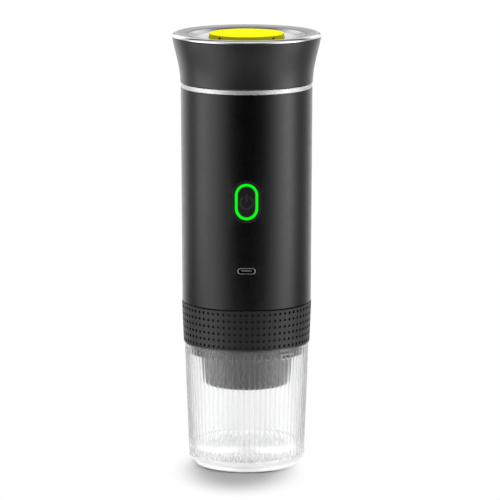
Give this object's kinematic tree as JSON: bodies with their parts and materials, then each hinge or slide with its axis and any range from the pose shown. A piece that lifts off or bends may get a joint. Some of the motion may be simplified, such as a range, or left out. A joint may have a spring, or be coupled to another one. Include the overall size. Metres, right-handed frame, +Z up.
{
  "type": "portable espresso maker",
  "caption": "Portable battery espresso maker: round black housing with a flared screw lid and a press-to-vent button, on a dotted brew head that plugs into its own clear fluted cup.",
  "frame": {"origin": "On the table, at the middle of the cup's foot", "axes": "+Z up along the body's axis, -Y to the front with the button and the charging port, +X to the right as seen from the front"},
  "size_m": [0.0731, 0.073, 0.2144],
  "materials": {
    "clear_plastic": "clear polished",
    "moulded_black": "satin",
    "body_black": "satin",
    "lid_black": "satin",
    "grip_black": "matte",
    "pressed_steel": "drawn",
    "polished_ring": "polished",
    "satin_top": "satin with a polished rim",
    "red_silicone": "matte",
    "clear_silicone": "translucent",
    "screw_steel": "plated",
    "spring_steel": "bright",
    "wrap_foam": "foam",
    "heater_metal": "cast",
    "heater_pad": "matte",
    "cutout_brown": "matte",
    "frame_grey": "matte",
    "cell_wrap": "shrink wrap",
    "nickel_strip": "bright",
    "board_green": "solder mask",
    "port_metal": "plated",
    "switch_black": "matte",
    "led_white": "clear",
    "light_green": "glowing",
    "pump_brass": "machined",
    "can_steel": "zinc plated",
    "spool_nylon": "matte",
    "copper_winding": "enamelled",
    "plunger_steel": "ground",
    "vent_yellow": "smooth",
    "white_plastic": "matte"
  },
  "bodies": {
    "cup": {"cup": "clear_plastic"},
    "brew_head": {"brew_head": "moulded_black", "grip_sleeve": "grip_black"},
    "basket": {"filter_basket": "pressed_steel", "filter_disc": "pressed_steel"},
    "group_seal": {"group_gasket": "red_silicone"},
    "housing": {"group_head": "moulded_black", "shower_screen": "pressed_steel", "shower_screw": "screw_steel", "outer_shell": "body_black", "trim_ring": "polished_ring", "neck_collar": "moulded_black", "water_tank": "pressed_steel", "tank_foam": "wrap_foam", "heater_plate": "heater_metal", "heater_pad": "heater_pad", "thermal_cutout": "cutout_brown", "inner_frame": "frame_grey", "cell_clamp": "frame_grey", "tie_screws": "screw_steel", "battery_cells": "cell_wrap", "cell_straps": "nickel_strip", "control_board": "board_green", "usb_c_receptacle": "port_metal", "tact_switch": "switch_black", "status_leds": "led_white", "button_bezel": "body_black", "light_ring": "light_green", "pump_head": "pump_brass", "check_valve": "red_silicone", "pump_can": "can_steel", "coil_bobbin": "spool_nylon", "pump_coil": "copper_winding", "plunger_guide": "pump_brass", "return_spring": "spring_steel", "buffer_spring": "spring_steel", "pump_inlet": "moulded_black", "inlet_hose": "clear_silicone", "outlet_hose": "clear_silicone"},
    "plunger": {"pump_plunger": "plunger_steel"},
    "button": {"power_button": "body_black", "switch_plunger": "white_plastic"},
    "lid_gasket": {"lid_seal": "clear_silicone"},
    "lid": {"lid_shell": "lid_black", "lid_top_plate": "satin_top", "lid_liner": "moulded_black", "lid_screws": "screw_steel", "vent_spring": "spring_steel"},
    "vent": {"vent_button": "vent_yellow", "vent_stem": "white_plastic", "vent_seal": "red_silicone"}
  },
  "joints": [
    {"name": "cup_release", "type": "slide", "parent": "cup", "child": "brew_head", "axis": [0, 0, 1], "range_m": [0, 0.09]},
    {"name": "basket_lift", "type": "slide", "parent": "brew_head", "child": "basket", "axis": [0, 0, 1], "range_m": [0, 0.04]},
    {"name": "housing_lift", "type": "slide", "parent": "basket", "child": "group_seal", "axis": [0, 0, 1], "range_m": [0, 0.04]},
    {"name": "housing_turn", "type": "hinge", "parent": "group_seal", "child": "housing", "pos_m": [0, 0, 0.0632], "axis": [0, 0, 1], "range_deg": [0, 720]},
    {"name": "plunger_stroke", "type": "slide", "parent": "housing", "child": "plunger", "axis": [0, 0, 1], "range_m": [-0.002, 0.002], "stiffness_N_per_m": 1500, "deforming": ["return_spring", "buffer_spring"]},
    {"name": "power_press", "type": "slide", "parent": "housing", "child": "button", "axis": [0, 1, 0], "range_m": [0, 0.0006], "stiffness_N_per_m": 2000, "springref_m": -0.0005},
    {"name": "lid_lift", "type": "slide", "parent": "housing", "child": "lid_gasket", "axis": [0, 0, 1], "range_m": [0, 0.03]},
    {"name": "lid_turn", "type": "hinge", "parent": "lid_gasket", "child": "lid", "pos_m": [0, 0, 0.2017], "axis": [0, 0, 1], "range_deg": [0, 540]},
    {"name": "vent_press", "type": "slide", "parent": "lid", "child": "vent", "axis": [0, 0, -1], "range_m": [0, 0.0015], "stiffness_N_per_m": 500, "springref_m": -0.004, "deforming": ["vent_spring"]}
  ],
  "couplings": [
    {"joint": "housing_lift", "follows": "housing_turn", "m_per_rad": 0.003183},
    {"joint": "lid_lift", "follows": "lid_turn", "m_per_rad": 0.003183}
  ]
}
